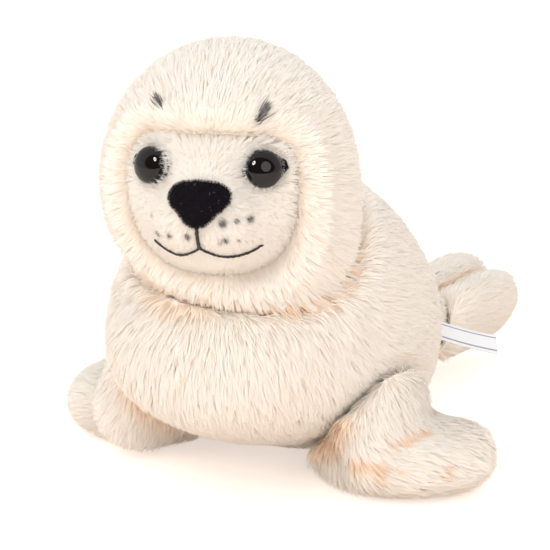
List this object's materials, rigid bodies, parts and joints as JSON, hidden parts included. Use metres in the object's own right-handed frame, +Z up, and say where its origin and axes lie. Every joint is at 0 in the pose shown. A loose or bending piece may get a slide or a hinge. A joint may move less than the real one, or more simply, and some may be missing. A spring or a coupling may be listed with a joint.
{
  "type": "plush seal",
  "caption": "Stuffed toy seal pup lying on its belly with its head turned, long pale pile, short-pile face, glossy eyes, felt nose and a stitched smile.",
  "frame": {"origin": "on the flat of the belly, on the seal's middle plane, where it lies on the ground", "axes": "+Z up, -Y towards the nose, +Y towards the hind flippers, +X to the seal's own left"},
  "size_m": [0.2022, 0.3193, 0.1811],
  "materials": {
    "long_pile": "long brushed plush pile",
    "short_pile": "short plush pile",
    "black_felt": "felt",
    "black_thread": "embroidery thread",
    "eye_gloss": "polished",
    "washer_plastic": "as moulded",
    "ribbon": "woven satin ribbon"
  },
  "bodies": {
    "root": {"trunk": "long_pile", "head": "long_pile", "face_panel": "short_pile", "nose": "black_felt", "mouth_stitching": "black_thread", "eye_left": "eye_gloss", "eye_right": "eye_gloss", "eye_felt_left": "black_felt", "eye_felt_right": "black_felt", "eye_washer_left": "washer_plastic", "eye_washer_right": "washer_plastic", "front_flipper_left": "long_pile", "front_flipper_right": "long_pile", "hind_flipper_left": "long_pile", "hind_flipper_right": "long_pile", "label": "ribbon"}
  },
  "joints": []
}
